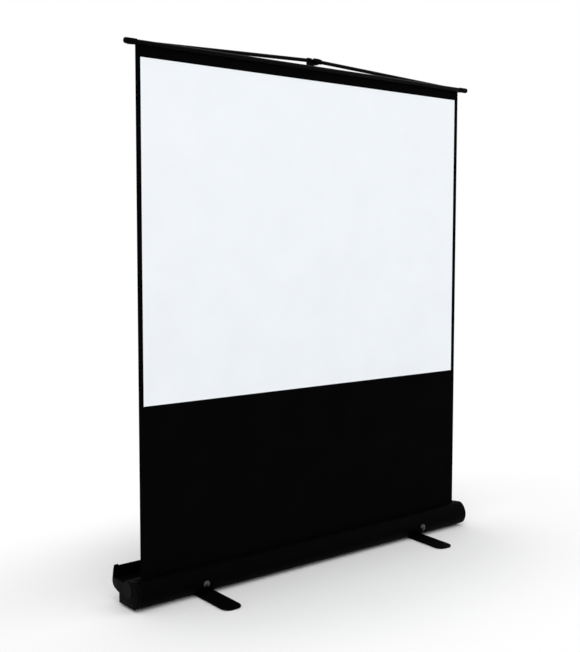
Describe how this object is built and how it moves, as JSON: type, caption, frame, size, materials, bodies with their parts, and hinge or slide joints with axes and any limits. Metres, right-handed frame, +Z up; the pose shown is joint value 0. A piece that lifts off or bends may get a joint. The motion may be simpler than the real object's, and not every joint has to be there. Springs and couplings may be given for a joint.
{
  "type": "pull up projection screen",
  "caption": "Floor-standing projection screen whose fabric pulls up from a sprung roller in a casing and hangs on a telescopic mast.",
  "frame": {"origin": "on the floor, midway between the two foot pivots", "axes": "+X along the screen to the viewer's right, +Y to the rear, +Z up"},
  "size_m": [1.734, 0.5024, 2.0063],
  "materials": {
    "casing_coat": "black powder coat",
    "foot_coat": "black powder coat on steel",
    "bar_coat": "black anodised",
    "mast_coat": "black anodised",
    "moulding": "black moulded",
    "nylon": "natural",
    "steel": "zinc plated",
    "button": "grey satin",
    "pad_rubber": "matt",
    "sheet": "matt white, black borders"
  },
  "bodies": {
    "casing": {"housing": "casing_coat", "end_cap_left": "moulding", "end_cap_right": "moulding", "axle_cover_left": "moulding", "axle_cover_right": "moulding", "mast_bracket": "casing_coat", "mast_hinge_pin": "steel", "mast_rest": "moulding", "idle_bearing": "nylon", "spring_bearing": "nylon", "spring_shaft": "steel", "torsion_spring": "steel", "foot_bolt_left": "steel", "foot_bolt_right": "steel", "foot_nut_left": "steel", "foot_nut_right": "steel", "foot_washer_left": "nylon", "foot_washer_right": "nylon", "button_guide_left": "steel", "button_guide_right": "steel"},
    "foot_left": {"foot_bar_left": "foot_coat", "foot_pad_left_front": "pad_rubber", "foot_pad_left_rear": "pad_rubber"},
    "foot_right": {"foot_bar_right": "foot_coat", "foot_pad_right_front": "pad_rubber", "foot_pad_right_rear": "pad_rubber"},
    "button_left": {"foot_button_left": "button"},
    "button_right": {"foot_button_right": "button"},
    "roller": {"roller_tube": "steel", "fabric_roll": "sheet", "idle_plug": "nylon", "spring_plug": "nylon", "shaft_bush": "nylon"},
    "bar": {"top_bar": "bar_coat", "bar_end_left": "moulding", "bar_end_right": "moulding", "hanger_rod_left": "bar_coat", "hanger_rod_right": "bar_coat", "hanger_yoke": "casing_coat", "screen_fabric": "sheet"},
    "mast_base": {"mast_knuckle": "moulding", "mast_base_tube": "mast_coat", "lower_collar": "moulding", "lower_lever_pin": "steel"},
    "mast_middle": {"mast_middle_tube": "mast_coat", "middle_guide": "nylon", "upper_collar": "moulding", "upper_lever_pin": "steel"},
    "mast_upper": {"mast_upper_tube": "mast_coat", "upper_guide": "nylon", "mast_head": "casing_coat"},
    "lower_clamp": {"lower_lever": "moulding"},
    "upper_clamp": {"upper_lever": "moulding"}
  },
  "joints": [
    {"name": "foot_left_swivel", "type": "hinge", "parent": "casing", "child": "foot_left", "pos_m": [-0.561, 0, 0.005], "axis": [0, 0, 1], "range_deg": [0, 92.5]},
    {"name": "foot_right_swivel", "type": "hinge", "parent": "casing", "child": "foot_right", "pos_m": [0.561, 0, 0.005], "axis": [0, 0, 1], "range_deg": [-84.5, 5.5]},
    {"name": "button_left_press", "type": "slide", "parent": "casing", "child": "button_left", "axis": [0, 1, 0], "range_m": [0, 0.0035], "stiffness_N_per_m": 400},
    {"name": "button_right_press", "type": "slide", "parent": "casing", "child": "button_right", "axis": [0, 1, 0], "range_m": [0, 0.0035], "stiffness_N_per_m": 400},
    {"name": "bar_slide", "type": "slide", "parent": "casing", "child": "bar", "axis": [0, 0, 1], "range_m": [-1.8445, 0.02], "deforming": ["screen_fabric"]},
    {"name": "roller_spin", "type": "hinge", "parent": "casing", "child": "roller", "pos_m": [0, -0.0083, 0.07], "axis": [1, 0, 0], "range_deg": [-52, 4616]},
    {"name": "mast_fold", "type": "hinge", "parent": "casing", "child": "mast_base", "pos_m": [0, 0.0656, 0.118], "axis": [0, 0.9997, 0.0237], "range_deg": [0, 90]},
    {"name": "mast_middle_slide", "type": "slide", "parent": "mast_base", "child": "mast_middle", "axis": [0, -0.0237, 0.9997], "range_m": [-0.5303, 0]},
    {"name": "mast_upper_slide", "type": "slide", "parent": "mast_middle", "child": "mast_upper", "axis": [0, -0.0237, 0.9997], "range_m": [-0.5303, 0]},
    {"name": "lower_lever_turn", "type": "hinge", "parent": "mast_base", "child": "lower_clamp", "pos_m": [-0.01591, 0.03256, 0.83942], "axis": [0, -0.0237, 0.9997], "range_deg": [0, 100]},
    {"name": "upper_lever_turn", "type": "hinge", "parent": "mast_middle", "child": "upper_clamp", "pos_m": [-0.01414, 0.02072, 1.41262], "axis": [0, -0.0237, 0.9997], "range_deg": [0, 100]}
  ],
  "couplings": [
    {"joint": "roller_spin", "follows": "bar_slide", "rad_per_m": -43.668}
  ]
}
